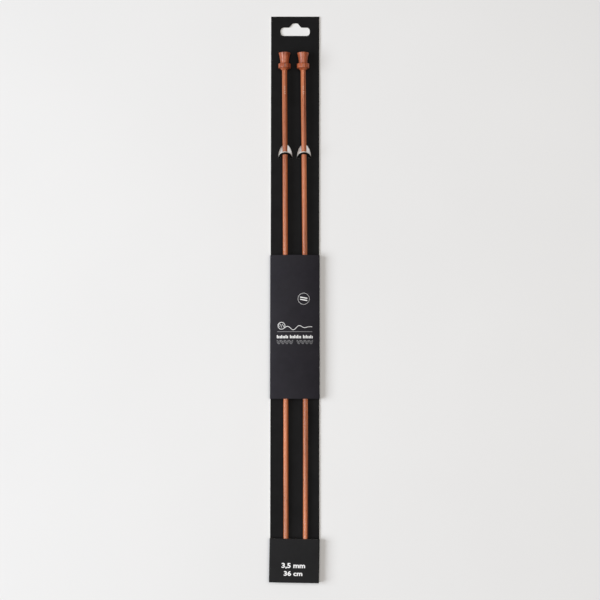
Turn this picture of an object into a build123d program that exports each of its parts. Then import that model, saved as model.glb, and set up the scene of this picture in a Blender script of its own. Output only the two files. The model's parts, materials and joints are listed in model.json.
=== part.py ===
from build123d import *
import os
from math import asin, atan2, cos, radians, sin, tan

# A pair of straight knitting needles in their retail pack, lying flat. Millimetres.
#
# +Z is up and the printed side faces up. +Y points to the hanging slot and +X to a reader's right.
# The origin is on the surface that the pack lies on, in the middle of the card's width and of the
# pack's length.
#
# Each needle is a turned rod with a turned knob glued on. Its collar rests on the card at the head
# and its rod rests on the card near the tip, so it climbs a little towards the head.
# A station is a distance along a needle's axis, measured from its tip.

# Needles
NEEDLE_LENGTH = 360.0
SHAFT_DIAMETER = 3.5
TIP_LENGTH = 10.0
TIP_ROUND = 0.5
TIP_BELLY = 0.22
LEFT_HEAD_X = -7.44
LEFT_TIP_X = -6.07
RIGHT_HEAD_X = 5.61
RIGHT_TIP_X = 7.5
REST_GAP = 0.08

# Turned knobs
KNOB_HEIGHT = 12.7
KNOB_TAPER_HEIGHT = 1.4
KNOB_TAPER_WALL = 0.35
COLLAR_DIAMETER = 8.7
COLLAR_HEIGHT = 3.2
COLLAR_STEP = 1.1
GROOVE_DIAMETER = 5.2
GROOVE_HEIGHT = 0.45
CUP_NECK_DIAMETER = 5.9
CUP_TOP_DIAMETER = 8.2
CUP_HOLLOW = 0.25
CUP_DOME = 0.3
TURNED_EDGE = 0.3
BORE_DEPTH = 8.0
GLUE_GAP = 0.03

# Card
CARD_WIDTH = 34.0
CARD_THICKNESS = 0.5
HEAD_MARGIN = 26.7
TIP_MARGIN = 9.3
CARD_END_GAP = 0.2
NECK_START = 2.0

# Hanging slot in the card
SLOT_WIDTH = 20.7
SLOT_BAR_HEIGHT = 6.0
SLOT_HEIGHT = 9.0
SLOT_HUMP_BASE = 8.4
SLOT_HUMP_TOP = 3.4
SLOT_END_ROUND = 2.4
SLOT_HUMP_ROUND = 1.1
SLOT_FROM_TOP = 4.8

# Holding straps, cut out of the card and lifted over the needles
STRAP_FROM_TOP = 101.1
STRAP_LIFT = 73.0
STRAP_OFFSET = 0.28
STRAP_HEADROOM = 0.45
STRAP_SIDE_GAP = 1.85
STRAP_FOOT = 1.45
STRAP_BAND = 3.3
STRAP_TONGUE = 4.0
STRAP_KERF = 0.1

# Folded board sleeve and end cap
SIDE_GAP = 0.06
SLIDE_GAP = 0.05
FRONT_FOLD_ROUND = 0.6
BACK_FOLD_ROUND = 0.15
LAP_WIDTH = 14.0
SLEEVE_BOARD = 0.2
SLEEVE_LENGTH = 100.0
SLEEVE_FROM_TOP = 169.8
SLEEVE_TRAVEL_UP = 65.0
SLEEVE_CROWN = 2.35
SLEEVE_HEADROOM = 0.15
CAP_BOARD = 0.2
CAP_LENGTH = 30.0
CAP_CROWN = 0.35
CAP_HEADROOM = 0.75
CAP_TILT = 1.0

# Worked out from the sizes above
NEEDLES = {"left": (LEFT_HEAD_X, LEFT_TIP_X), "right": (RIGHT_HEAD_X, RIGHT_TIP_X)}
SHAFT_RADIUS = SHAFT_DIAMETER / 2
COLLAR_RADIUS = COLLAR_DIAMETER / 2
PACK_LENGTH = HEAD_MARGIN + NEEDLE_LENGTH + TIP_MARGIN + CAP_BOARD
CARD_TOP_Y = PACK_LENGTH / 2
TIP_Y = CARD_TOP_Y - HEAD_MARGIN - NEEDLE_LENGTH
CAP_MOUTH_Y = -PACK_LENGTH / 2 + CAP_LENGTH
CARD_BOTTOM_Z = 2 * max(SLEEVE_BOARD, CAP_BOARD) + SLIDE_GAP
CARD_TOP_Z = CARD_BOTTOM_Z + CARD_THICKNESS
CARD_MID_Z = CARD_BOTTOM_Z + CARD_THICKNESS / 2
KNOB_STATION = NEEDLE_LENGTH - KNOB_HEIGHT
COLLAR_STATION = KNOB_STATION + KNOB_TAPER_HEIGHT
PITCH = asin((COLLAR_RADIUS - SHAFT_RADIUS) / (COLLAR_STATION - TIP_LENGTH))
STRAP_Y = CARD_TOP_Y - STRAP_FROM_TOP
SLEEVE_TOP_Y = CARD_TOP_Y - SLEEVE_FROM_TOP


def axis_z(y):
    """Height of a needle's axis where it passes y."""
    rest_y = TIP_Y + TIP_LENGTH
    return CARD_TOP_Z + REST_GAP + SHAFT_RADIUS + (y - rest_y) * tan(PITCH)


def axis_x(head_x, tip_x, y):
    """Sideways place of a needle's axis where it passes y."""
    return tip_x + (head_x - tip_x) * (y - TIP_Y) / NEEDLE_LENGTH


def needle_direction(head_x, tip_x):
    """Unit vector along a needle's axis, from tip to head. The needle is drawn out along it."""
    yaw = atan2(head_x - tip_x, NEEDLE_LENGTH)
    return sin(yaw) * cos(PITCH), cos(yaw) * cos(PITCH), sin(PITCH)


def needle_frame(head_x, tip_x):
    """Where a needle lies: its tip is at the frame's origin and its axis is the frame's Z."""
    tip = (tip_x, TIP_Y, axis_z(TIP_Y))
    return Plane(origin=tip, x_dir=(1, 0, 0), z_dir=needle_direction(head_x, tip_x))


def turned(outline):
    """Solid of revolution about Z from a closed outline of (radius, height) points."""
    face = Plane.XZ * make_face(outline)
    return revolve(face, Axis.Z)


def round_end(radius, height, middle_z, outward):
    """Arc from the axis to the edge of a shallow ball-shaped end. outward is 1 for a top, -1 for a tip."""
    ball = (radius**2 + height**2) / (2 * height)
    half_turn = asin(min(1.0, radius / ball)) / 2
    middle = (ball * sin(half_turn), middle_z - outward * ball * (1 - cos(half_turn)))
    return ThreePointArc((0, middle_z), middle, (radius, middle_z - outward * height))


def needle_shaft():
    """Round rod with a gently bellied taper to a blunt tip. Its top end is glued into the knob."""
    top = KNOB_STATION + BORE_DEPTH
    middle = ((TIP_ROUND + SHAFT_RADIUS) / 2 + TIP_BELLY, (TIP_ROUND + TIP_LENGTH) / 2)
    nose = round_end(TIP_ROUND, TIP_ROUND, 0, -1)
    taper = Spline((TIP_ROUND, TIP_ROUND), middle, (SHAFT_RADIUS, TIP_LENGTH))
    rest = Polyline((SHAFT_RADIUS, TIP_LENGTH), (SHAFT_RADIUS, top), (0, top), (0, 0))
    return turned([nose, taper, rest])


def needle_knob():
    """Turned end knob: short taper, collar, thin groove and a flared cup with a domed top."""
    bore = SHAFT_RADIUS + GLUE_GAP
    foot = SHAFT_RADIUS + KNOB_TAPER_WALL
    collar_top = KNOB_TAPER_HEIGHT + COLLAR_HEIGHT
    groove_top = collar_top + GROOVE_HEIGHT
    cup_top = KNOB_HEIGHT - CUP_DOME
    neck_r = CUP_NECK_DIAMETER / 2
    cup_r = CUP_TOP_DIAMETER / 2
    middle = ((neck_r + cup_r) / 2 - CUP_HOLLOW, (groove_top + cup_top) / 2)
    lower = FilletPolyline(
        (bore, 0),
        (foot, 0),
        (COLLAR_RADIUS - COLLAR_STEP, KNOB_TAPER_HEIGHT),
        (COLLAR_RADIUS, KNOB_TAPER_HEIGHT),
        (COLLAR_RADIUS, collar_top),
        (GROOVE_DIAMETER / 2, collar_top),
        (GROOVE_DIAMETER / 2, groove_top),
        (neck_r, groove_top),
        radius=[0, 0, TURNED_EDGE, TURNED_EDGE, 0, 0],
    )
    flare = ThreePointArc((neck_r, groove_top), middle, (cup_r, cup_top - TURNED_EDGE))
    rim = RadiusArc((cup_r, cup_top - TURNED_EDGE), (cup_r - TURNED_EDGE, cup_top), TURNED_EDGE)
    dome = round_end(cup_r - TURNED_EDGE, CUP_DOME, KNOB_HEIGHT, 1)
    bore_line = Polyline((0, KNOB_HEIGHT), (0, BORE_DEPTH), (bore, BORE_DEPTH), (bore, 0))
    return turned([lower, flare, rim, dome, bore_line])


def strap_x(head_x, tip_x):
    """Sideways place of the middle of the strap that holds a needle."""
    return axis_x(head_x, tip_x, STRAP_Y) + STRAP_OFFSET


def strap_gap():
    """Half-width and height of a strap's inner arc, so that the lifted strap clears the rod."""
    lift = radians(STRAP_LIFT)
    rod_top = axis_z(STRAP_Y) + SHAFT_RADIUS + STRAP_HEADROOM - CARD_MID_Z
    return SHAFT_RADIUS + STRAP_SIDE_GAP, (rod_top + CARD_THICKNESS / 2 * cos(lift)) / sin(lift)


def arch(inner_x, inner_y):
    """Flat outline from a strap's outer arc in to a smaller arc. Both end on the X axis."""
    gap_x, gap_y = strap_gap()
    outer_x = gap_x + STRAP_FOOT
    outer_y = gap_y + STRAP_BAND
    ring = Ellipse(outer_x, outer_y) - Ellipse(inner_x, inner_y)
    return ring & Pos(0, outer_y) * Rectangle(2 * outer_x, 2 * outer_y)


def strap_opening(x):
    """Hole in the card round a strap. A short tongue of card stays between the strap's feet."""
    hole = Pos(x, STRAP_Y, CARD_MID_Z) * arch(strap_gap()[0] - STRAP_KERF, STRAP_TONGUE)
    return extrude(hole, amount=CARD_THICKNESS, both=True)


def holding_strap(x, card):
    """A strap, cut from the card's own sheet and turned up about the line through its feet, with a
    round fold at each foot. It meets the card face to face there."""
    lift = radians(STRAP_LIFT)
    hinge = (x, STRAP_Y, CARD_MID_Z)
    fold_x = strap_gap()[0] + STRAP_FOOT / 2
    plane = Plane(origin=hinge, x_dir=(1, 0, 0), z_dir=(0, -sin(lift), cos(lift)))
    strap = extrude(plane * arch(*strap_gap()), amount=CARD_THICKNESS / 2, both=True)
    for side in (-1, 1):
        fold = Rot(0, 90, 0) * Cylinder(CARD_THICKNESS / 2, STRAP_FOOT)
        strap += Pos(*hinge) * Pos(side * fold_x, 0, 0) * fold
    return strap - card


def hanging_slot():
    """Outline of the slot: a rounded bar with a hump in the middle, cut towards the card's top."""
    bar_x = SLOT_WIDTH / 2
    base_x = SLOT_HUMP_BASE / 2
    top_x = SLOT_HUMP_TOP / 2
    outline = FilletPolyline(
        (-bar_x, 0),
        (-bar_x, SLOT_BAR_HEIGHT),
        (-base_x, SLOT_BAR_HEIGHT),
        (-top_x, SLOT_HEIGHT),
        (top_x, SLOT_HEIGHT),
        (base_x, SLOT_BAR_HEIGHT),
        (bar_x, SLOT_BAR_HEIGHT),
        (bar_x, 0),
        radius=[SLOT_END_ROUND] * 2 + [SLOT_HUMP_ROUND] * 4 + [SLOT_END_ROUND] * 2,
        close=True,
    )
    return Pos(0, CARD_TOP_Y - SLOT_FROM_TOP - SLOT_HEIGHT) * make_face(outline)


def backing_card():
    """Sheet of board with the hanging slot and the holes that the two straps were lifted from. Its
    lower end is a little narrower inside the cap, so that the cap can sit at its slight tilt."""
    edge_x = CARD_WIDTH / 2
    neck_x = edge_x - CAP_LENGTH * tan(radians(CAP_TILT))
    neck_y = CAP_MOUTH_Y - NECK_START
    end_y = CAP_MOUTH_Y - CAP_LENGTH + CAP_BOARD + edge_x * sin(radians(CAP_TILT)) + CARD_END_GAP
    right = [(edge_x, CARD_TOP_Y), (edge_x, neck_y), (neck_x, neck_y), (neck_x, end_y)]
    left = [(-x, y) for x, y in reversed(right)]
    sheet = make_face(Polyline(*right, *left, close=True)) - hanging_slot()
    card = extrude(Pos(0, 0, CARD_BOTTOM_Z) * sheet, amount=CARD_THICKNESS)
    for head_x, tip_x in NEEDLES.values():
        card -= strap_opening(strap_x(head_x, tip_x))
    return card


def tube_section(board, side_z, crown):
    """Inside and outside outlines of a folded tube round the card: flat back, upright sides and a
    crowned front. side_z is the inside height at the sides."""
    half = CARD_WIDTH / 2 + SIDE_GAP
    back = 2 * board
    folds = Polyline((-half, side_z), (-half, back), (half, back), (half, side_z))
    front = ThreePointArc((half, side_z), (0, side_z + crown), (-half, side_z))
    inside = make_face([folds, front])
    corners = inside.vertices().sort_by(Axis.Y)
    inside = fillet(corners[:2], BACK_FOLD_ROUND)
    inside = fillet(inside.vertices().sort_by(Axis.Y)[-2:], FRONT_FOLD_ROUND)
    return inside, offset(inside, amount=board)


def along_y(section, start_y, length):
    """Pushes an XZ outline from start_y towards -Y."""
    return extrude(Plane.XZ.offset(-start_y) * section, amount=length)


def glue_lap(board, start_y, length):
    """Second layer of board down the middle of the back, where the tube's two ends are glued."""
    return Pos(0, start_y - length / 2, board / 2) * Box(LAP_WIDTH, length, board)


def sleeve_band():
    """Folded band that slides over the card and both needles. Its front is crowned just enough to
    pass over the rods at the upper end of its travel."""
    half = CARD_WIDTH / 2 + SIDE_GAP
    upper_y = SLEEVE_TOP_Y + SLEEVE_TRAVEL_UP
    widest = max(abs(axis_x(head_x, tip_x, upper_y)) for head_x, tip_x in NEEDLES.values())
    rod_top = axis_z(upper_y) + SHAFT_RADIUS + SLEEVE_HEADROOM
    side_z = rod_top - SLEEVE_CROWN * (1 - (widest / half) ** 2)
    inside, outside = tube_section(SLEEVE_BOARD, side_z, SLEEVE_CROWN)
    band = along_y(outside - inside, SLEEVE_TOP_Y, SLEEVE_LENGTH)
    return band + glue_lap(SLEEVE_BOARD, SLEEVE_TOP_Y, SLEEVE_LENGTH)


def end_cap():
    """Folded cap with a closed bottom, slipped over the card's lower end and the tips. It sits
    turned a little about the middle of its mouth."""
    side_z = axis_z(CAP_MOUTH_Y) + SHAFT_RADIUS + CAP_HEADROOM - CAP_CROWN
    inside, outside = tube_section(CAP_BOARD, side_z, CAP_CROWN)
    cap = along_y(outside, 0, CAP_LENGTH) - along_y(inside, 0, CAP_LENGTH - CAP_BOARD)
    cap += glue_lap(CAP_BOARD, 0, CAP_LENGTH)
    return Pos(0, CAP_MOUTH_Y, 0) * Rot(0, 0, -CAP_TILT) * cap


card = backing_card()
nodes = {"backing_card": card, "sleeve_band": sleeve_band(), "end_cap": end_cap()}
for side, (head_x, tip_x) in NEEDLES.items():
    place = needle_frame(head_x, tip_x)
    nodes[side + "_holding_strap"] = holding_strap(strap_x(head_x, tip_x), card)
    nodes[side + "_needle_shaft"] = place * needle_shaft()
    nodes[side + "_needle_knob"] = place * Pos(0, 0, KNOB_STATION) * needle_knob()
    print(f"{side} needle is drawn out along", [round(v, 7) for v in needle_direction(head_x, tip_x)])

os.makedirs("parts", exist_ok=True)
for name, solid in nodes.items():
    export_step(solid, f"parts/{name}.step")
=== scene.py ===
import json
from math import acos, atan2, cos, pi, radians, sin, sqrt, tan

import bpy
from mathutils import Matrix, Vector


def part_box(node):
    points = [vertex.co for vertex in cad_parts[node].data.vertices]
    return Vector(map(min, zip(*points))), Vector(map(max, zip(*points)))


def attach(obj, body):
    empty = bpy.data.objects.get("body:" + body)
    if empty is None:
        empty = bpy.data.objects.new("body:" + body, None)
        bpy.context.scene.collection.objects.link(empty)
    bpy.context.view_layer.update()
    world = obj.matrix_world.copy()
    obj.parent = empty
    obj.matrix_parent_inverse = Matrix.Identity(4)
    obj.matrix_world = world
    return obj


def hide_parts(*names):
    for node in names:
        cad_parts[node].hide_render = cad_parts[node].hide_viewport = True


# The looks of a pair of rosewood knitting needles in their card pack: turned wood, folded black
# board with a pale core, and white print. Lengths are in metres, with small sizes written in
# millimetres, and angles are in degrees.
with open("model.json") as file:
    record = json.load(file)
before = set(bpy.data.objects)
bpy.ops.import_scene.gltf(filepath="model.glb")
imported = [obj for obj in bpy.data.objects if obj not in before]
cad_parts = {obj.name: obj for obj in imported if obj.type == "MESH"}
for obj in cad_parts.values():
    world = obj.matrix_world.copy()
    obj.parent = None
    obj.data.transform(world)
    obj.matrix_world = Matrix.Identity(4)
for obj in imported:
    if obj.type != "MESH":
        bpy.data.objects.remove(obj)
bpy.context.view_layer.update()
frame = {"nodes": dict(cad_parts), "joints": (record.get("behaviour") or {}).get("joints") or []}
MM = 0.001

# Camera and light
CAMERA_PLACE = (0.00355, -0.07597, 1.0976)
CAMERA_AIM = (0.00355, -0.00272, 0.0)
CAMERA_LENS = 94.34
CAMERA_ROLL = 0.041
FLOOR_SIZE = 6.0
KEY_DISTANCE = 2.4
KEY_SIZE = 1.43
KEY_ELEVATION = 37.0
KEY_AZIMUTH = 187.0
KEY_POWER = 52.5
KEY_COLOUR = (0.92, 0.955, 1.0)
CEILING_HEIGHT = 2.0
CEILING_SIDE = 0.25
CEILING_SIZE = 1.5
CEILING_POWER = 21.5
CEILING_COLOUR = (1.0, 0.955, 0.905)
DOME_COLOUR = (1.0, 0.96, 0.91)
DOME_STRENGTH = 0.12
FLOOR_GREY = (0.80, 0.82)

# Colours and surfaces. Wood is dark, middle and light. Board is its black or its pale colour.
ROD_COLOURS = ((0.20, 0.042, 0.014), (0.50, 0.138, 0.048), (0.66, 0.215, 0.088))
KNOB_COLOURS = ((0.15, 0.026, 0.009), (0.37, 0.078, 0.027), (0.50, 0.13, 0.052))
WOOD_GLOSS = 0.25
WOOD_COAT = 0.42
COAT_ROUGHNESS = 0.1
SLEEVE_BLACK = (0.0092, 0.0080, 0.0122)
SLEEVE_WORN = (0.07, 0.07, 0.075)
CAP_BLACK = (0.0074, 0.0074, 0.0082)
CARD_BLACK = (0.0055, 0.0055, 0.006)
CARD_MOTTLE = (0.0075, 0.0075, 0.0082)
WORN = (0.07, 0.07, 0.07)
SLEEVE_ROUGH, SLEEVE_GLOSS = 0.62, 0.21
CAP_ROUGH, CAP_GLOSS = 0.6, 0.16
STRAP_ROUGH, STRAP_GLOSS = 0.55, 0.09
CARD_GLOSS = 0.085
CORE_PALE, CORE_FLECK = (0.78, 0.76, 0.71), (0.6, 0.57, 0.5)
BARE_PALE, BARE_FLECK = (0.60, 0.58, 0.53), (0.22, 0.2, 0.17)
CARD_PALE, CARD_SHADE, CARD_FLECK = (0.66, 0.64, 0.59), (0.5, 0.48, 0.43), (0.2, 0.18, 0.15)

# Needles and knobs
SHAFT_RADIUS = 1.75 * MM
TIP_LENGTH = 10 * MM
TIP_ROUND = 0.5 * MM
TIP_BELLY = 0.22 * MM
KNOB_BORE_DEPTH = 8 * MM
COLLAR_RADIUS = 4.35 * MM
ROD_SIDES = 64
KNOB_SIDES = 96
ROD_BOW = {"left": 0.3 * MM, "right": 0.6 * MM}
KNOB_GLUE = 0.03 * MM
TURNING = 0.45 * MM
GRAIN_SHIFT = 0.37

# Board
BOARD = 0.2 * MM
GLUE_LINE = 0.01 * MM
SKIN = (BOARD - GLUE_LINE) / 2
BOARD_CRISP = 40.0
LAP_HALF_WIDTH = 7 * MM
LAP_STEP = 0.9 * MM
FRONT_FOLD = 0.7 * MM
BACK_FOLD = 0.25 * MM
BACK_HEIGHT = 1 * MM
SLEEVE_CROWN = 2.35 * MM
CAP_CROWN = 0.35 * MM
CAP_LENGTH = 30 * MM
CAP_TILT = 1.0
CARD_THICKNESS = 0.5 * MM
CARD_EDGE = 0.05 * MM
CARD_BEVEL_ANGLE = 50.0

# Holding straps
STRAP_HALF_GAP = 3.6 * MM
STRAP_FOOT = 1.45 * MM
STRAP_BAND = 3.3 * MM
STRAP_GAP_HEIGHT = 6.77 * MM
STRAP_LIFT = 73.0
STRAP_FOLD = 0.32 * MM
STRAP_INSET = 0.01 * MM

# Print
INK_LIFT = 0.015 * MM
INK_DEPTH = 0.03 * MM
THICKNESS_MARK = "3,5 mm"
LENGTH_MARK = "36 cm"


def unit_normal(a, b):
    """Left-hand normal of the line from a to b."""
    dx, dz = b[0] - a[0], b[1] - a[1]
    length = sqrt(dx * dx + dz * dz)
    return -dz / length, dx / length


def new_piece(name, points, faces, materials, material_of=None, smooth=True):
    """Mesh object from points and faces. material_of lists each face's material number."""
    mesh = bpy.data.meshes.new(name)
    mesh.from_pydata(points, [], faces)
    for material in materials:
        mesh.materials.append(material)
    for i, face in enumerate(mesh.polygons):
        face.use_smooth = smooth
        if material_of:
            face.material_index = material_of[i]
    mesh.validate()
    piece = bpy.data.objects.new(name, mesh)
    bpy.context.scene.collection.objects.link(piece)
    return piece


def crisp(piece, angle=30.0):
    """Smooth shading that stays sharp where faces meet at more than the angle."""
    piece.data.set_sharp_from_angle(angle=radians(angle))


# ---------------------------------------------------------------- materials


def add(tree, kind, settings=None, **inputs):
    """New shader node. An input is a value or another node's output socket."""
    node = tree.nodes.new(kind)
    for key, value in (settings or {}).items():
        setattr(node, key, value)
    for key, value in inputs.items():
        socket = node.inputs[key.replace("_", " ")]
        if isinstance(value, bpy.types.NodeSocket):
            tree.links.new(value, socket)
        else:
            socket.default_value = value
    return node


def new_material(name):
    """Empty node material, its tree, its shader and the object's own coordinates."""
    material = bpy.data.materials.new(name)
    material.use_nodes = True
    tree = material.node_tree
    shader = tree.nodes["Principled BSDF"]
    coordinates = tree.nodes.new("ShaderNodeTexCoord").outputs["Object"]
    return material, tree, shader, coordinates


def noise(tree, coordinates, scale, detail=3.0, roughness=0.5, distortion=0.0):
    """Noise from 0 to 1. scale is features per metre, one number or one for each axis."""
    sizes = scale if isinstance(scale, tuple) else (scale, scale, scale)
    place = add(tree, "ShaderNodeMapping", Vector=coordinates, Scale=sizes)
    return add(
        tree,
        "ShaderNodeTexNoise",
        Vector=place.outputs["Vector"],
        Scale=1.0,
        Detail=detail,
        Roughness=roughness,
        Distortion=distortion,
    ).outputs["Fac"]


def ramp(tree, value, *stops):
    """Colour ramp. A stop is a position and a grey level or a colour."""
    node = add(tree, "ShaderNodeValToRGB", Fac=value)
    elements = node.color_ramp.elements
    while len(elements) < len(stops):
        elements.new(0.5)
    for element, (position, colour) in zip(elements, stops):
        element.position = position
        element.color = (*colour, 1) if isinstance(colour, tuple) else (colour, colour, colour, 1)
    return node.outputs["Color"]


def blend(tree, kind, factor, a, b):
    """Mixes two colours. factor is a number or a socket."""
    node = add(tree, "ShaderNodeMix", {"data_type": "RGBA", "blend_type": kind})
    for index, value in ((0, factor), (6, a), (7, b)):
        if isinstance(value, bpy.types.NodeSocket):
            tree.links.new(value, node.inputs[index])
        else:
            node.inputs[index].default_value = value
    return node.outputs[2]


def math(tree, operation, a, b=0.0):
    """Arithmetic on one or two numbers or sockets."""
    node = add(tree, "ShaderNodeMath", {"operation": operation})
    for index, value in ((0, a), (1, b)):
        if isinstance(value, bpy.types.NodeSocket):
            tree.links.new(value, node.inputs[index])
        else:
            node.inputs[index].default_value = value
    return node.outputs[0]


def bump(tree, shader, height, strength, distance):
    """Surface relief from a height socket."""
    node = add(tree, "ShaderNodeBump", Height=height, Strength=strength, Distance=distance)
    tree.links.new(node.outputs["Normal"], shader.inputs["Normal"])


def wood(name, dark, middle, light, turning=0.0):
    """Oiled rosewood with its grain along the piece's own Z. turning adds fine lathe lines."""
    material, tree, shader, coordinates = new_material(name)
    # Each piece's own number shifts its grain, so that no two pieces are cut from the same wood.
    cut = tree.nodes.new("ShaderNodeObjectInfo").outputs["Object Index"]
    shift = math(tree, "MULTIPLY", cut, GRAIN_SHIFT)
    placed = add(tree, "ShaderNodeMapping", Vector=coordinates, Location=shift)
    coordinates = placed.outputs["Vector"]
    bands = noise(tree, coordinates, (520, 520, 7), detail=5, roughness=0.55, distortion=0.6)
    figure = ramp(tree, bands, (0.28, dark), (0.44, middle), (0.58, light), (0.74, middle))
    fibres = noise(tree, coordinates, (3800, 3800, 55), detail=4, roughness=0.6)
    toned = blend(tree, "MULTIPLY", 1.0, figure, ramp(tree, fibres, (0.3, 0.72), (0.7, 1.12)))
    streaks = noise(tree, coordinates, (1500, 1500, 16), distortion=0.3)
    veined = blend(tree, "MULTIPLY", 1.0, toned, ramp(tree, streaks, (0.36, 0.62), (0.46, 1.0)))
    specks = noise(tree, coordinates, (5200, 5200, 330), detail=1)
    pores = ramp(tree, specks, (0.66, 0.0), (0.72, 1.0))
    pore_colour = (*[c * 0.35 for c in dark], 1)
    porous = blend(tree, "MIX", pores, veined, pore_colour)
    tree.links.new(porous, shader.inputs["Base Color"])
    rough = ramp(tree, fibres, (0.3, 0.40), (0.7, 0.50))
    tree.links.new(rough, shader.inputs["Roughness"])
    relief = math(tree, "SUBTRACT", fibres, pores)
    if turning:
        height = add(tree, "ShaderNodeSeparateXYZ", Vector=coordinates).outputs["Z"]
        rings = math(tree, "SINE", math(tree, "MULTIPLY", height, 2 * pi / turning))
        relief = math(tree, "ADD", relief, math(tree, "MULTIPLY", rings, 0.6))
    bump(tree, shader, relief, 0.35, 0.03 * MM)
    shader.inputs["Specular IOR Level"].default_value = WOOD_GLOSS
    shader.inputs["Coat Weight"].default_value = WOOD_COAT
    shader.inputs["Coat Roughness"].default_value = COAT_ROUGHNESS
    return material


def printed_board(name, deep, worn, rough, gloss, half_width=None):
    """Board printed solid black: faint mottle, paper fibres, and rubbed folds at half_width."""
    material, tree, shader, coordinates = new_material(name)
    mottle = noise(tree, coordinates, 140, detail=6, roughness=0.65)
    fibres = noise(tree, coordinates, (2600, 1500, 2600), detail=5, roughness=0.6)
    colour = ramp(tree, mottle, (0.3, deep), (0.7, tuple(c * 1.35 for c in deep)))
    colour = blend(tree, "MULTIPLY", 1.0, colour, ramp(tree, fibres, (0.25, 0.8), (0.75, 1.2)))
    if half_width:
        across = add(tree, "ShaderNodeSeparateXYZ", Vector=coordinates).outputs["X"]
        away = math(tree, "DIVIDE", math(tree, "ABSOLUTE", across), half_width)
        fold = ramp(tree, away, (0.965, 0.0), (0.985, 1.0))
        wear = noise(tree, coordinates, (900, 260, 900), detail=5, roughness=0.7)
        rubbed = math(tree, "MULTIPLY", fold, ramp(tree, wear, (0.5, 0.0), (0.7, 0.5)))
        colour = blend(tree, "MIX", rubbed, colour, (*worn, 1))
    tree.links.new(colour, shader.inputs["Base Color"])
    handling = noise(tree, coordinates, 45, detail=4, roughness=0.6)
    uneven = ramp(tree, handling, (0.3, rough - 0.05), (0.7, rough + 0.06))
    tree.links.new(uneven, shader.inputs["Roughness"])
    bump(tree, shader, fibres, 0.22, 0.03 * MM)
    shader.inputs["Specular IOR Level"].default_value = gloss
    return material


def bare_board(name, colour, fleck, rough=0.85):
    """Unprinted board: matted fibres with a few darker flecks."""
    material, tree, shader, coordinates = new_material(name)
    fibres = noise(tree, coordinates, (2200, 700, 2200), detail=6, roughness=0.65)
    base = ramp(tree, fibres, (0.25, tuple(c * 0.86 for c in colour)), (0.75, colour))
    specks = noise(tree, coordinates, (1900, 650, 1900), detail=2)
    flecks = ramp(tree, specks, (0.70, 0.0), (0.76, 0.7))
    flecked = blend(tree, "MIX", flecks, base, (*fleck, 1))
    tree.links.new(flecked, shader.inputs["Base Color"])
    uneven = ramp(tree, fibres, (0.3, rough - 0.06), (0.7, rough + 0.06))
    tree.links.new(uneven, shader.inputs["Roughness"])
    bump(tree, shader, fibres, 0.4, 0.04 * MM)
    shader.inputs["Specular IOR Level"].default_value = 0.2
    return material


def ink(name, colour):
    """Opaque screen ink with a slightly uneven lay."""
    material, tree, shader, coordinates = new_material(name)
    lay = noise(tree, coordinates, 2400, detail=4, roughness=0.6)
    shade = ramp(tree, lay, (0.25, tuple(c * 0.9 for c in colour)), (0.7, colour))
    tree.links.new(shade, shader.inputs["Base Color"])
    tree.links.new(ramp(tree, lay, (0.3, 0.5), (0.7, 0.62)), shader.inputs["Roughness"])
    bump(tree, shader, lay, 0.2, 0.01 * MM)
    shader.inputs["Specular IOR Level"].default_value = 0.3
    return material


def card_material():
    """The card's printed front, bare back and pale cut edges, told apart by which way they face."""
    material, tree, shader, coordinates = new_material("card_print")
    facing = tree.nodes.new("ShaderNodeNewGeometry").outputs["Normal"]
    up = add(tree, "ShaderNodeSeparateXYZ", Vector=facing).outputs["Z"]
    fibres = noise(tree, coordinates, (2400, 1300, 2400), detail=5, roughness=0.6)
    mottle = noise(tree, coordinates, 120, detail=6, roughness=0.65)
    black = ramp(tree, mottle, (0.3, CARD_BLACK), (0.7, CARD_MOTTLE))
    black = blend(tree, "MULTIPLY", 1.0, black, ramp(tree, fibres, (0.25, 0.8), (0.75, 1.2)))
    pale = ramp(tree, fibres, (0.25, CARD_SHADE), (0.75, CARD_PALE))
    specks = noise(tree, coordinates, (1900, 650, 1900), detail=2)
    flecks = ramp(tree, specks, (0.70, 0.0), (0.76, 0.6))
    pale = blend(tree, "MIX", flecks, pale, (*CARD_FLECK, 1))
    front = ramp(tree, up, (0.80, 0.0), (0.86, 1.0))
    tree.links.new(blend(tree, "MIX", front, pale, black), shader.inputs["Base Color"])
    handling = noise(tree, coordinates, 45, detail=4, roughness=0.6)
    matt = ramp(tree, handling, (0.3, 0.5), (0.7, 0.62))
    rough = blend(tree, "MIX", front, (0.85, 0.85, 0.85, 1), matt)
    tree.links.new(rough, shader.inputs["Roughness"])
    bump(tree, shader, fibres, 0.22, 0.03 * MM)
    shader.inputs["Specular IOR Level"].default_value = CARD_GLOSS
    return material


CORE = bare_board("board_core", CORE_PALE, CORE_FLECK)
BARE = bare_board("board_back", BARE_PALE, BARE_FLECK)
SHAFT_WOOD = wood("rosewood_rod", *ROD_COLOURS)
KNOB_WOOD = wood("rosewood_turned", *KNOB_COLOURS, TURNING)
WHITE_INK = ink("white_ink", (0.93, 0.93, 0.93))
GREY_INK = ink("grey_ink", (0.30, 0.30, 0.31))
MARK = ink("size_mark", (0.62, 0.42, 0.32))


# ---------------------------------------------------------------- needles


def lathe(outline, sides):
    """Points and faces of a turned solid about Z. The outline is (radius, height) points, which
    run from the axis at one end to the axis at the other."""
    points = [(0.0, 0.0, outline[0][1])]
    faces = []
    rings = outline[1:-1]
    for radius, height in rings:
        for k in range(sides):
            turn = 2 * pi * k / sides
            points.append((radius * cos(turn), radius * sin(turn), height))
    points.append((0.0, 0.0, outline[-1][1]))
    last = len(points) - 1
    for k in range(sides):
        k2 = (k + 1) % sides
        faces.append((0, 1 + k2, 1 + k))
        for r in range(len(rings) - 1):
            low, high = 1 + r * sides, 1 + (r + 1) * sides
            faces.append((low + k, low + k2, high + k2, high + k))
        top = 1 + (len(rings) - 1) * sides
        faces.append((top + k, top + k2, last))
    return points, faces


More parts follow.
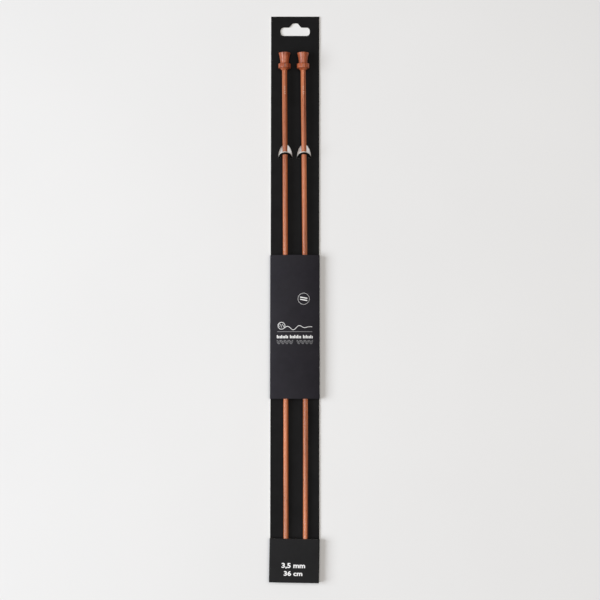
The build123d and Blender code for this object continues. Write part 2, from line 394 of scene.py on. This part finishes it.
def needle_axis(side):
    """Tip, direction and length of a needle's rod, from its CAD box and its joint's axis."""
    joint = next(j for j in frame["joints"] if j["child"] == side + "_needle")
    direction = Vector(joint["axis"]).normalized()
    low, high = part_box(side + "_needle_shaft")
    length = (high.y - low.y) / direction.y
    return (low + high) / 2 - direction * length / 2, direction, length


def on_axis(origin, direction):
    """Matrix that stands a piece's Z along a direction, with its X close to the frame's X."""
    x = (Vector((1, 0, 0)) - direction * direction.x).normalized()
    y = direction.cross(x)
    turn = Matrix((x, y, direction)).transposed().to_4x4()
    return Matrix.Translation(origin) @ turn


def rod_outline(length):
    """Blunt round tip, a bellied taper and a straight rod."""
    round_steps, taper_steps, straight_steps = 8, 32, 60
    outline = [(0.0, 0.0)]
    for k in range(1, round_steps + 1):
        turn = pi / 2 * k / round_steps
        outline.append((TIP_ROUND * sin(turn), TIP_ROUND * (1 - cos(turn))))
    for k in range(1, taper_steps + 1):
        t = k / taper_steps
        belly = TIP_BELLY * 4 * t * (1 - t)
        radius = TIP_ROUND + (SHAFT_RADIUS - TIP_ROUND) * t + belly * (1 - 0.5 * t)
        outline.append((min(radius, SHAFT_RADIUS), TIP_ROUND + (TIP_LENGTH - TIP_ROUND) * t))
    for k in range(1, straight_steps + 1):
        outline.append((SHAFT_RADIUS, TIP_LENGTH + (length - TIP_LENGTH) * k / straight_steps))
    outline.append((0.0, length))
    return outline


def arc(centre, radius, start, end, steps):
    """Points on a circle from one angle to another, in degrees."""
    turns = [radians(start + (end - start) * k / steps) for k in range(steps + 1)]
    return [(centre[0] + radius * cos(t), centre[1] + radius * sin(t)) for t in turns]


def knob_outline():
    """Turned knob, from the foot of its taper to the middle of its domed top."""
    foot, shoulder, groove, neck, cup = 2.1 * MM, 3.25 * MM, 2.6 * MM, 2.95 * MM, 4.1 * MM
    taper, collar_top, groove_top = 1.4 * MM, 4.6 * MM, 5.05 * MM
    cup_top, top, hollow_depth = 12.4 * MM, 12.7 * MM, 0.25 * MM
    edge, chamfer, soft = 0.3 * MM, 0.12 * MM, 0.1 * MM
    cup_steps, dome_steps = 24, 10
    outline = [(0.0, 0.0), (SHAFT_RADIUS + KNOB_GLUE, 0.0), (foot - soft, 0.02 * MM)]
    outline += [(foot, chamfer), (shoulder - chamfer, taper - chamfer), (shoulder, taper)]
    outline += arc((COLLAR_RADIUS - edge, taper + edge), edge, -90, 0, 6)
    outline += arc((COLLAR_RADIUS - edge, collar_top - edge), edge, 0, 90, 6)
    outline += [(groove + soft, collar_top), (groove, collar_top + soft)]
    outline += [(groove, groove_top - soft), (groove + soft, groove_top)]
    outline += arc((neck - soft, groove_top + soft), soft, -90, 0, 3)
    for k in range(1, cup_steps + 1):
        t = k / cup_steps
        hollow = hollow_depth * 4 * t * (1 - t)
        height = groove_top + soft + (cup_top - edge - groove_top - soft) * t
        outline.append((neck + (cup - neck) * t - hollow, height))
    outline += arc((cup - edge, cup_top - edge), edge, 5, 88, 7)
    for k in range(1, dome_steps):
        turn = pi / 2 * k / dome_steps
        outline.append(((cup - edge) * cos(turn), cup_top + (top - cup_top) * sin(turn)))
    outline.append((0.0, top))
    return outline


def rod_bow(side, length, station):
    """How far a rod is bowed sideways at a station. It is straight where its knob holds it."""
    seen = length - KNOB_BORE_DEPTH
    return ROD_BOW[side] * sin(pi * min(1.0, station / seen))


def make_needle(side):
    """Rod and knob of one needle, both riding on its body. The rod is bowed a little sideways."""
    tip, direction, length = needle_axis(side)
    points, faces = lathe(rod_outline(length), ROD_SIDES)
    points = [(x + rod_bow(side, length, z), y, z) for x, y, z in points]
    rod = new_piece(side + "_rod", points, faces, [SHAFT_WOOD])
    rod.matrix_world = on_axis(tip, direction)
    crisp(rod)
    points, faces = lathe(knob_outline(), KNOB_SIDES)
    knob = new_piece(side + "_knob", points, faces, [KNOB_WOOD])
    knob.matrix_world = on_axis(tip + direction * (length - KNOB_BORE_DEPTH), direction)
    crisp(knob)
    blanks = ((rod, "_needle_shaft", "shaft"), (knob, "_needle_knob", "knob"))
    first_number = 1 if side == "left" else 3
    for number, (piece, node, slot) in enumerate(blanks, first_number):
        piece.pass_index = number
        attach(piece, side + "_needle")
        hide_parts(side + node)
    return rod


# ---------------------------------------------------------------- folded board


def filleted(corners, steps=6):
    """Line through (x, z, radius) corners, each rounded by its own radius."""
    line = []
    for i, (x, z, radius) in enumerate(corners):
        here = Vector((x, z))
        if radius == 0:
            line.append((x, z))
            continue
        back = (Vector(corners[i - 1][:2]) - here).normalized()
        ahead = (Vector(corners[i + 1][:2]) - here).normalized()
        half = acos(max(-1.0, min(1.0, back.dot(ahead)))) / 2
        middle = here + (back + ahead).normalized() * (radius / sin(half))
        start = here + back * (radius / tan(half)) - middle
        end = here + ahead * (radius / tan(half)) - middle
        a0, a1 = atan2(start.y, start.x), atan2(end.y, end.x)
        sweep = (a1 - a0 + pi) % (2 * pi) - pi
        for k in range(steps + 1):
            turn = a0 + sweep * k / steps
            line.append((middle.x + radius * cos(turn), middle.y + radius * sin(turn)))
    return line


def crown_height(half, side_z, crown):
    """Height of a crowned panel at x: an arc through both sides and its middle."""
    radius = (half**2 + crown**2) / (2 * crown)
    return lambda x: side_z + crown - radius + sqrt(radius**2 - x**2)


def tube_line(half, side_z, crown):
    """Middle line of a board folded round the card. It starts and ends in the glue lap at the back,
    where its last stretch steps down and lies under its first."""
    back_z, lap_z = BOARD * 1.5, BOARD / 2
    top = crown_height(half, side_z, crown)
    count = 40
    across = [half * (2 * k / count - 1) for k in range(count + 1)]
    corners = [(LAP_HALF_WIDTH, back_z, 0), (-half, back_z, BACK_FOLD)]
    corners += [(x, top(x), FRONT_FOLD if abs(x) == half else 0) for x in across]
    corners += [(half, back_z, BACK_FOLD)]
    corners += [(LAP_HALF_WIDTH + 2 * LAP_STEP, back_z, 0), (LAP_HALF_WIDTH + LAP_STEP, lap_z, 0)]
    corners += [(-LAP_HALF_WIDTH, lap_z, 0)]
    return filleted(corners)


def edge_face(corners, flip, faces, kinds):
    """Adds one face of a cut edge, which shows the board's core."""
    faces.append(corners[::-1] if flip else corners)
    kinds.append(2)


def board_faces(count, stations):
    """Faces of a board, and each face's kind: 0 printed, 1 bare, 2 cut edge. Its points come in
    pairs, printed side first, with count pairs across it at each of its stations."""
    row = 2 * count
    faces, kinds = [], []
    for j in range(stations):
        a, b = j * row, (j + 1) * row
        for i in range(count - 1):
            p, q = 2 * i, 2 * (i + 1)
            faces.append((a + p, a + q, b + q, b + p))
            faces.append((a + p + 1, b + p + 1, b + q + 1, a + q + 1))
            kinds += [0, 1]
        for i, flip in ((0, False), (count - 1, True)):
            p = 2 * i
            edge_face((a + p, b + p, b + p + 1, a + p + 1), flip, faces, kinds)
    for base, flip in ((0, True), (stations * row, False)):
        for i in range(count - 1):
            p, q = base + 2 * i, base + 2 * (i + 1)
            edge_face((p, q, q + 1, p + 1), flip, faces, kinds)
    return faces, kinds


def folded_tube(name, line, length, printed, relax, stations):
    """Board of even thickness along a line, drawn out towards -Y from y = 0. Its outside is
    printed, its inside is bare and its cut edges show the core. relax(x, z, y) is its lift."""
    count = len(line)
    normals = []
    for i in range(count):
        before = unit_normal(line[max(i - 1, 0)], line[max(i, 1)])
        after = unit_normal(line[min(i, count - 2)], line[min(i + 1, count - 1)])
        x, z = before[0] + after[0], before[1] + after[1]
        size = (x * x + z * z) / 2
        normals.append((x / size, z / size))
    points = []
    for j in range(stations + 1):
        y = -length * j / stations
        for (x, z), (nx, nz) in zip(line, normals):
            lift = relax(x, z, y)
            for way in (1, -1):
                points.append((x + way * nx * SKIN, y, z + way * nz * SKIN + lift))
    faces, kinds = board_faces(count, stations)
    piece = new_piece(name, points, faces, [printed, BARE, CORE], kinds)
    crisp(piece, BOARD_CRISP)
    return piece


def end_plate(name, outline, y, material):
    """Closed bottom of the cap: a flap of board with softly rounded edges, facing -Y."""
    inset, depth = 0.06 * MM, BOARD
    rims = ((0.0, 0.0), (0.0, depth - inset), (inset * 0.3, depth - inset * 0.3), (inset, depth))
    middle = Vector((0, sum(z for _, z in outline) / len(outline)))
    points, faces = [], []
    count = len(outline)
    for shrink, back in rims:
        for x, z in outline:
            inward = (middle - Vector((x, z))).normalized() * shrink
            points.append((x + inward.x, y - back, z + inward.y))
    for r in range(len(rims) - 1):
        a, b = r * count, (r + 1) * count
        for i in range(count):
            k = (i + 1) % count
            faces.append((a + i, a + k, b + k, b + i))
    faces.append(tuple(range(count))[::-1])
    faces.append(tuple(range((len(rims) - 1) * count, len(rims) * count)))
    piece = new_piece(name, points, faces, [material])
    crisp(piece)
    return piece


def sleeve_relax(x, z, y):
    """The sleeve's front wavers by a few hundredths of a millimetre, as folded board does."""
    if z < BACK_HEIGHT:
        return 0.0
    waver = sin(y * 95 + x * 60) + sin(y * 41 - x * 130 + 1.3)
    return 0.03 * MM * waver * min(1.0, z / (5 * MM))


def cap_relax(x, z, y):
    """The cap's front dips slightly towards its mouth."""
    if z < BACK_HEIGHT:
        return 0.0
    dip, reach, half_width = 0.05 * MM, 8 * MM, 17 * MM
    share = max(0.0, 1 + y / reach)
    return -dip * share * share * (1 - (x / half_width) ** 2)


def tube_surface(low, high, crown):
    """Half-width, side height and outside height function of a folded tube, from its CAD box."""
    half = (high.x - low.x) / 2 - BOARD / 2
    side_z = high.z - BOARD / 2 - crown
    middle = crown_height(half, side_z, crown)
    return half, side_z, lambda x: middle(x) + SKIN


def make_sleeve():
    """The folded band. Returns its outside height function and the matrix that it is placed by."""
    low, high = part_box("sleeve_band")
    half, side_z, outside = tube_surface(low, high, SLEEVE_CROWN)
    printed = printed_board("sleeve_print", SLEEVE_BLACK, SLEEVE_WORN, SLEEVE_ROUGH, SLEEVE_GLOSS, half)
    line = tube_line(half, side_z, SLEEVE_CROWN)
    sleeve = folded_tube("sleeve", line, high.y - low.y, printed, sleeve_relax, stations=80)
    place = Matrix.Translation((0, high.y, 0))
    sleeve.matrix_world = place
    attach(sleeve, "sleeve")
    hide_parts("sleeve_band")
    return lambda x, y: outside(x) + sleeve_relax(x, outside(x), y), place


def make_cap():
    """The end cap. Returns its outside height function and the matrix that it is placed by."""
    low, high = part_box("end_cap")
    tilt = radians(CAP_TILT)
    half_out = ((high.x - low.x) - CAP_LENGTH * sin(tilt)) / (2 * cos(tilt))
    mouth_y = high.y - half_out * sin(tilt)
    flat_low = Vector((-half_out, mouth_y - CAP_LENGTH, low.z))
    flat_high = Vector((half_out, mouth_y, high.z))
    half, side_z, outside = tube_surface(flat_low, flat_high, CAP_CROWN)
    printed = printed_board("cap_print", CAP_BLACK, WORN, CAP_ROUGH, CAP_GLOSS, half)
    line = tube_line(half, side_z, CAP_CROWN)
    cap = folded_tube("cap", line, CAP_LENGTH - BOARD, printed, cap_relax, stations=24)
    above_lap = BOARD * 1.2
    rise = [(x, z) for x, z in line if z > above_lap]
    middle = Vector((0, (side_z + BOARD) / 2))
    outline = []
    for x, z in rise[1:-1]:
        outward = Vector((x, z)) - middle
        outward = Vector((outward.x / half, outward.y / side_z)).normalized()
        outline.append((x + outward.x * SKIN, z + outward.y * SKIN))
    plate = end_plate("cap_bottom", outline, -(CAP_LENGTH - BOARD) - GLUE_LINE, printed)
    place = Matrix.Translation((0, mouth_y, 0)) @ Matrix.Rotation(-tilt, 4, "Z")
    cap.matrix_world = place
    plate.matrix_world = place
    for piece in (cap, plate):
        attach(piece, "cap")
    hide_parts("end_cap")
    return lambda x, y: outside(x) + cap_relax(x, outside(x), y), place


def make_card():
    """The card keeps its CAD shape, with its cut edges slightly softened."""
    card = frame["nodes"]["backing_card"]
    card.data.materials.clear()
    card.data.materials.append(card_material())
    weld = card.modifiers.new("weld", "WELD")
    weld.merge_threshold = 0.001 * MM
    soften = card.modifiers.new("soften", "BEVEL")
    soften.width = CARD_EDGE
    soften.segments = 2
    soften.limit_method = "ANGLE"
    soften.angle_limit = radians(CARD_BEVEL_ANGLE)


def make_strap(side, printed):
    """An arch cut from the card and bent up at its two feet, so that it stands over the rod."""
    low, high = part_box(side + "_holding_strap")
    card_low, card_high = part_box("backing_card")
    middle_x = (low.x + high.x) / 2
    middle_z = (card_low.z + card_high.z) / 2
    hinge_y = low.y + CARD_THICKNESS / 2
    lift = radians(STRAP_LIFT)
    along, across = 120, 6
    skin = CARD_THICKNESS / 2 - STRAP_INSET
    points = []
    for k in range(along + 1):
        turn = pi * (1 - cos(pi * k / along)) / 2
        for u in range(across + 1):
            share = u / across
            x = (STRAP_HALF_GAP + STRAP_FOOT * share) * cos(turn)
            s = (STRAP_GAP_HEIGHT + STRAP_BAND * share) * sin(turn)
            bent = min(s / STRAP_FOLD, lift)
            run = max(0.0, s - STRAP_FOLD * lift)
            y = STRAP_FOLD * sin(bent) + run * cos(lift)
            z = STRAP_FOLD * (1 - cos(bent)) + run * sin(lift)
            for way in (1, -1):
                offset = way * skin
                points.append((x, y - offset * sin(bent), z + offset * cos(bent)))
    faces, kinds = board_faces(across + 1, along)
    strap = new_piece(side + "_strap", points, faces, [printed, BARE, CORE], kinds)
    crisp(strap, BOARD_CRISP)
    strap.matrix_world = Matrix.Translation((middle_x, hinge_y, middle_z))
    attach(strap, "card")
    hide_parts(side + "_holding_strap")


# ---------------------------------------------------------------- print


class Print:
    """Ink on a surface, whose height at (x, y) is a function. Places are in millimetres, in the
    printed piece's own axes: the sleeve's and the cap's start at the middle of the upper edge."""

    def __init__(self, name, surface, place, material, body):
        self.points, self.faces = [], []
        self.name, self.surface, self.place = name, surface, place
        self.material, self.body = material, body

    def stroke(self, line, width, closed=False):
        """A closed, thin strip of ink along a line of (x, y) points."""
        count = len(line)
        base = len(self.points)
        for i, (x, y) in enumerate(line):
            before = line[i - 1] if i or closed else line[0]
            after = line[(i + 1) % count] if i < count - 1 or closed else line[-1]
            nx, ny = unit_normal(before, after)
            for way in (0.5, -0.5):
                px, py = (x + nx * width * way) * MM, (y + ny * width * way) * MM
                height = self.surface(px, py)
                self.points.append((px, py, height + INK_LIFT))
                self.points.append((px, py, height + INK_LIFT - INK_DEPTH))
        for i in range(count if closed else count - 1):
            a, b = base + 4 * i, base + 4 * ((i + 1) % count)
            for p, q in ((0, 2), (2, 3), (3, 1), (1, 0)):
                self.faces.append((a + p, a + q, b + q, b + p))
        if not closed:
            end = base + 4 * (count - 1)
            self.faces.append((base, base + 1, base + 3, base + 2))
            self.faces.append((end, end + 2, end + 3, end + 1))

    def bar(self, x0, x1, y, height, tilt=0.0):
        """A straight bar of ink, turned about its middle by tilt degrees."""
        longest_step = 0.4
        steps = max(2, int((x1 - x0) / longest_step))
        middle = (x0 + x1) / 2
        slope = radians(tilt)
        line = []
        for k in range(steps + 1):
            away = x0 + (x1 - x0) * k / steps - middle
            line.append((middle + away * cos(slope), y + away * sin(slope)))
        self.stroke(line, height)

    def text(self, words, x0, x1, y0, y1, weight=0.0):
        """Plain size marking in the built-in typeface, fitted into a box."""
        curve = bpy.data.curves.new("marking", "FONT")
        curve.body = words
        curve.offset = weight
        curve.extrude = 0.5
        curve.resolution_u = 6
        holder = bpy.data.objects.new("marking", curve)
        mesh = bpy.data.meshes.new_from_object(holder)
        xs = [v.co.x for v in mesh.vertices]
        ys = [v.co.y for v in mesh.vertices]
        base = len(self.points)
        for v in mesh.vertices:
            px = (x0 + (x1 - x0) * (v.co.x - min(xs)) / (max(xs) - min(xs))) * MM
            py = (y0 + (y1 - y0) * (v.co.y - min(ys)) / (max(ys) - min(ys))) * MM
            sunk = 0.0 if v.co.z > 0 else INK_DEPTH
            self.points.append((px, py, self.surface(px, py) + INK_LIFT - sunk))
        self.faces += [tuple(base + i for i in face.vertices) for face in mesh.polygons]
        bpy.data.objects.remove(holder)
        bpy.data.curves.remove(curve)
        bpy.data.meshes.remove(mesh)

    def make(self):
        """The finished piece, riding on its body."""
        piece = new_piece(self.name, self.points, self.faces, [self.material], smooth=False)
        piece.matrix_world = self.place
        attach(piece, self.body)
        return piece


def circle(x, y, radius, steps=64, start=0.0, end=360.0):
    """Points round a circle, or part of one."""
    whole = end - start == 360.0
    count = steps if whole else steps + 1
    turns = [radians(start + (end - start) * k / steps) for k in range(count)]
    return [(x + radius * cos(t), y + radius * sin(t)) for t in turns]


def print_badge(surface, place):
    """Ring with two tilted bars in it."""
    x, y = 6.1, -30.6
    radius, line = 3.95, 0.17
    bar_height, tilt = 0.72, -10.0
    upper, lower = (0.72, 2.6), (-0.8, 2.5)
    badge = Print("badge", surface, place, WHITE_INK, "sleeve")
    badge.stroke(circle(x, y, radius), line, closed=True)
    for offset, half in (upper, lower):
        badge.bar(x - half, x + half, y + offset, bar_height, tilt)
    badge.make()


def print_yarn_motif(surface, place):
    """Ball of yarn with three wraps, and a strand that waves away from it."""
    ball_x, ball_y, ball_radius, ball_line = -9.3, -49.4, 2.4, 0.34
    wrap_radius, wrap_line, wrap_spacing = 3.4, 0.24, 1.5
    strand_end, strand_line, strand_steps = 12.0, 0.36, 96
    motif = Print("yarn_motif", surface, place, WHITE_INK, "sleeve")
    motif.stroke(circle(ball_x, ball_y, ball_radius, 48), ball_line, closed=True)
    for wrap in (-1, 0, 1):
        shift = wrap * wrap_spacing
        turn = 38 - 7 * abs(shift)
        x, y = ball_x - 3.2 + shift, ball_y - 1.6
        motif.stroke(circle(x, y, wrap_radius, 16, 25 - turn / 2, 25 + turn), wrap_line)
    start = ball_x + ball_radius * 0.7
    strand = []
    for k in range(strand_steps + 1):
        t = k / strand_steps
        wave = 1.5 * sin(4.5 * pi * t) * sin(pi * min(1.0, 0.15 + t))
        strand.append((start + (strand_end - start) * t, ball_y - 1.7 + wave + 1.1 * t))
    motif.stroke(strand, strand_line)
    motif.make()


def print_rule(surface, place):
    """Thin line under the motif."""
    rule = Print("rule", surface, place, GREY_INK, "sleeve")
    left, right, y, thickness = -12.2, 12.1, -53.5, 0.28
    rule.bar(left, right, y, thickness)
    rule.make()


def print_word_bars(surface, place):
    """Three words of upright bars, tall and short like letters."""
    left, foot, width = -12.5, -58.1, 25.2
    tall, gap = 2.2, 0.34
    heights = (1.0, 0.72, 0.72, 1.0, 0.72, 0.72, 1.0, 0.72)
    letters = (8, 8, 7)
    pitch = width / (sum(letters) + len(letters) - 1)
    words = Print("word_bars", surface, place, WHITE_INK, "sleeve")
    x = left
    for word, count in enumerate(letters):
        for k in range(count):
            height = tall * heights[(k + 3 * word) % len(heights)]
            words.bar(x, x + pitch - gap, foot + height / 2, height)
            x += pitch
        x += pitch
    words.make()


def print_stitches(surface, place):
    """Two groups of four knit stitches, each a pair of leaning leaves."""
    left, y, pitch, group_gap = -11.2, -60.7, 2.84, 2.5
    leaf_x, leaf_y, leaf_steps, line = 0.42, 1.35, 24, 0.2
    spread, lean = 0.62, 22
    turns = [2 * pi * k / leaf_steps for k in range(leaf_steps)]
    leaf = [(leaf_x * cos(turn), leaf_y * sin(turn)) for turn in turns]
    stitches = Print("stitch_row", surface, place, GREY_INK, "sleeve")
    for column in range(8):
        middle = left + pitch * column + (group_gap if column > 3 else 0.0)
        for way in (-1, 1):
            c, s = cos(radians(-lean * way)), sin(radians(-lean * way))
            x = middle + way * spread
            shape = [(x + u * c - v * s, y + u * s + v * c) for u, v in leaf]
            stitches.stroke(shape, line, closed=True)
    stitches.make()


def print_cap(surface, place):
    """The needles' thickness and length, in two lines."""
    thickness_box, length_box = (-8.7, 7.5, -20.5, -16.5), (-7.1, 5.7, -25.3, -22.0)
    weight = 0.03
    label = Print("size_label", surface, place, WHITE_INK, "cap")
    label.text(THICKNESS_MARK, *thickness_box, weight)
    label.text(LENGTH_MARK, *length_box, weight)
    label.make()


def mark_rod(side, rod):
    """Size mark below the knob, laid out flat from the rod's top end and wrapped round the rod."""
    length = max(v.co.z for v in rod.data.vertices)
    flat_box, weight = (-25.1, -19.4, -0.62, 0.62), 0.01
    mark = Print(side + "_size_mark", lambda x, y: 0.0, rod.matrix_world, MARK, side + "_needle")
    mark.text(THICKNESS_MARK, *flat_box, weight)
    wrapped = []
    for x, y, z in mark.points:
        radius = SHAFT_RADIUS + z
        turn = y / SHAFT_RADIUS
        bow = rod_bow(side, length, length + x)
        wrapped.append((radius * sin(turn) + bow, -radius * cos(turn), length + x))
    mark.points = wrapped
    mark.make()


for side in ("left", "right"):
    rod = make_needle(side)
    mark_rod(side, rod)
make_card()
strap_print = printed_board("strap_print", CARD_BLACK, WORN, STRAP_ROUGH, STRAP_GLOSS)
for side in ("left", "right"):
    make_strap(side, strap_print)
sleeve_surface, sleeve_place = make_sleeve()
cap_surface, cap_place = make_cap()
for print_part in (print_badge, print_yarn_motif, print_rule, print_word_bars, print_stitches):
    print_part(sleeve_surface, sleeve_place)
print_cap(cap_surface, cap_place)


# ---------------------------------------------------------------- floor, light and camera


def make_floor():
    """Plain pale floor."""
    material, tree, shader, coordinates = new_material("floor")
    dark, light = FLOOR_GREY
    cloudy = ramp(tree, noise(tree, coordinates, 6, 3), (0.3, dark), (0.7, light))
    tree.links.new(cloudy, shader.inputs["Base Color"])
    shader.inputs["Roughness"].default_value = 0.6
    shader.inputs["Specular IOR Level"].default_value = 0.2
    half = FLOOR_SIZE / 2
    corners = [(-half, -half, 0), (half, -half, 0), (half, half, 0), (-half, half, 0)]
    floor = new_piece("floor", corners, [(0, 1, 2, 3)], [material], smooth=False)


def new_lamp(name, size, power, colour):
    """Square soft light, which points straight down until it is turned."""
    lamp = bpy.data.lights.new(name, "AREA")
    lamp.shape = "SQUARE"
    lamp.size = size
    lamp.energy = power
    lamp.color = colour
    light = bpy.data.objects.new(name, lamp)
    bpy.context.scene.collection.objects.link(light)
    return light


def make_lights():
    """A broad soft window from the left, a pale ceiling above and a dim surround."""
    key = new_lamp("key", KEY_SIZE, KEY_POWER, KEY_COLOUR)
    up, round_z = radians(KEY_ELEVATION), radians(KEY_AZIMUTH)
    towards = Vector((cos(up) * cos(round_z), cos(up) * sin(round_z), sin(up)))
    key.location = towards * KEY_DISTANCE
    key.rotation_mode = "QUATERNION"
    key.rotation_quaternion = towards.to_track_quat("Z", "Y")
    ceiling = new_lamp("ceiling", CEILING_SIZE, CEILING_POWER, CEILING_COLOUR)
    ceiling.location = (CEILING_SIDE, 0, CEILING_HEIGHT)
    world = bpy.data.worlds.new("surround")
    world.use_nodes = True
    background = world.node_tree.nodes["Background"]
    background.inputs["Color"].default_value = (*DOME_COLOUR, 1)
    background.inputs["Strength"].default_value = DOME_STRENGTH
    bpy.context.scene.world = world
    bpy.context.scene.view_settings.view_transform = "Standard"


def make_camera():
    """Nearly overhead, leaning back a little towards -Y."""
    lens = bpy.data.cameras.new("camera")
    lens.lens = CAMERA_LENS
    lens.clip_start, lens.clip_end = 0.01, 20.0
    camera = bpy.data.objects.new("camera", lens)
    bpy.context.scene.collection.objects.link(camera)
    camera.location = CAMERA_PLACE
    back = (Vector(CAMERA_PLACE) - Vector(CAMERA_AIM)).normalized()
    right = Vector((1, 0, 0))
    turn = Matrix((right, back.cross(right), back)).transposed().to_4x4()
    turn = Matrix.Rotation(radians(CAMERA_ROLL), 4, back) @ turn
    camera.matrix_world = Matrix.Translation(CAMERA_PLACE) @ turn
    bpy.context.scene.camera = camera


make_floor()
make_lights()
make_camera()
